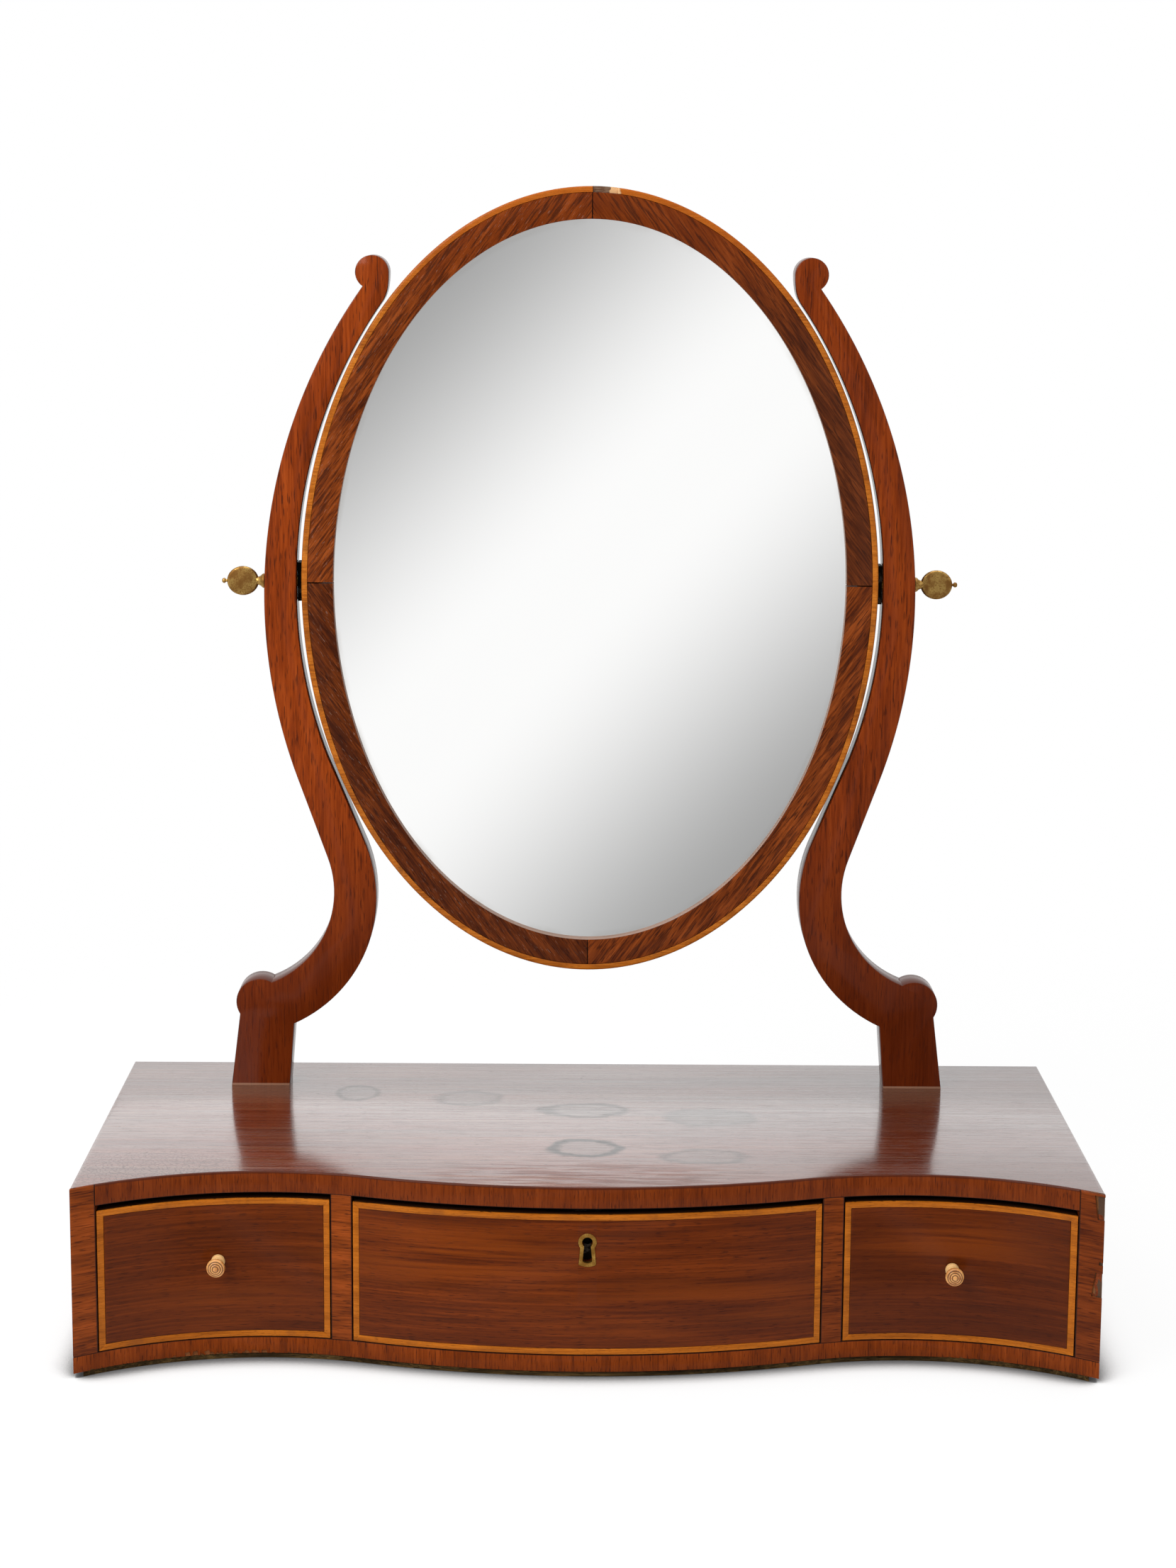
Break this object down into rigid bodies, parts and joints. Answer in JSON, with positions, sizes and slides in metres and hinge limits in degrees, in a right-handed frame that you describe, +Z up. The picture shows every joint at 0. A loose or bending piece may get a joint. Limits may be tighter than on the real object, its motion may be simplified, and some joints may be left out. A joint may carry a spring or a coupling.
{
  "type": "dressing table mirror",
  "caption": "Oval swing mirror in a crossbanded wooden frame, held by thumbscrews between scrolled uprights on a serpentine box base with drawers.",
  "frame": {"origin": "middle of the footprint, on the surface that the base rests on", "axes": "+Z up, the drawers and the mirror face -Y, +X to the right as seen from the front"},
  "size_m": [0.47, 0.22, 0.5399],
  "materials": {
    "top_mahogany": "polished, worn shellac, grain along the width",
    "side_mahogany": "polished shellac",
    "upright_mahogany": "satin polish, grain along the height",
    "frame_veneer": "satin polish, slanting crossband grain",
    "rail_veneer": "satin polish, upright crossband grain",
    "stile_veneer": "satin polish, level crossband grain",
    "front_mahogany": "satin polish, grain along the width",
    "boxwood": "aged boxwood under polish",
    "stained_pine": "dark stained, unpolished",
    "pine": "aged, unpolished",
    "drawer_oak": "aged, unpolished",
    "mirror_glass": "silvered plate",
    "aged_brass": "tarnished",
    "black_iron": "black, matt",
    "steel": "dull",
    "bone": "turned bone, yellowed, waxed"
  },
  "bodies": {
    "base": {"base_panel": "stained_pine", "bottom_board": "pine", "back_board": "pine", "left_side": "side_mahogany", "right_side": "side_mahogany", "left_divider": "pine", "right_divider": "pine", "top_board": "top_mahogany", "top_rail_veneer": "rail_veneer", "bottom_rail_veneer": "rail_veneer", "left_stile_veneer": "stile_veneer", "right_stile_veneer": "stile_veneer", "left_divider_veneer": "stile_veneer", "right_divider_veneer": "stile_veneer", "left_upright": "upright_mahogany", "right_upright": "upright_mahogany"},
    "mirror": {"frame_upper_left": "frame_veneer", "frame_upper_right": "frame_veneer", "frame_lower_left": "frame_veneer", "frame_lower_right": "frame_veneer", "edging_short": "boxwood", "edging_left": "boxwood", "edging_bottom": "boxwood", "edging_right": "boxwood", "mirror_glass": "mirror_glass", "glazing_blocks": "pine", "backboard": "pine", "backboard_nails": "steel", "left_pivot_plate": "black_iron", "right_pivot_plate": "black_iron", "pivot_plate_screws": "steel"},
    "left_thumbscrew_body": {"left_thumbscrew": "aged_brass"},
    "right_thumbscrew_body": {"right_thumbscrew": "aged_brass"},
    "left_drawer": {"left_drawer_front": "front_mahogany", "left_drawer_stringing": "boxwood", "left_drawer_left_side": "drawer_oak", "left_drawer_right_side": "drawer_oak", "left_drawer_back": "drawer_oak", "left_drawer_bottom": "drawer_oak", "left_knob": "bone"},
    "centre_drawer": {"centre_drawer_front": "front_mahogany", "centre_drawer_stringing": "boxwood", "centre_drawer_left_side": "drawer_oak", "centre_drawer_right_side": "drawer_oak", "centre_drawer_back": "drawer_oak", "centre_drawer_bottom": "drawer_oak", "escutcheon": "aged_brass", "lock_case": "steel", "lock_screws": "steel"},
    "right_drawer": {"right_drawer_front": "front_mahogany", "right_drawer_stringing": "boxwood", "right_drawer_left_side": "drawer_oak", "right_drawer_right_side": "drawer_oak", "right_drawer_back": "drawer_oak", "right_drawer_bottom": "drawer_oak", "right_knob": "bone"},
    "lock_bolt_body": {"lock_bolt": "aged_brass"}
  },
  "joints": [
    {"name": "mirror_swing", "type": "hinge", "parent": "base", "child": "mirror", "pos_m": [0, 0.075, 0.3465], "axis": [1, 0, 0], "continuous": true},
    {"name": "left_thumbscrew_turn", "type": "hinge", "parent": "mirror", "child": "left_thumbscrew_body", "pos_m": [-0.17, 0.075, 0.3465], "axis": [-1, 0, 0], "range_deg": [0, 180]},
    {"name": "right_thumbscrew_turn", "type": "hinge", "parent": "mirror", "child": "right_thumbscrew_body", "pos_m": [0.17, 0.075, 0.3465], "axis": [1, 0, 0], "range_deg": [0, 180]},
    {"name": "left_drawer_slide", "type": "slide", "parent": "base", "child": "left_drawer", "axis": [0, -1, 0], "range_m": [0, 0.16]},
    {"name": "centre_drawer_slide", "type": "slide", "parent": "base", "child": "centre_drawer", "axis": [0, -1, 0], "range_m": [0, 0.16]},
    {"name": "right_drawer_slide", "type": "slide", "parent": "base", "child": "right_drawer", "axis": [0, -1, 0], "range_m": [0, 0.16]},
    {"name": "lock_bolt_throw", "type": "slide", "parent": "centre_drawer", "child": "lock_bolt_body", "axis": [0, 0, 1], "range_m": [0, 0.0065]}
  ]
}
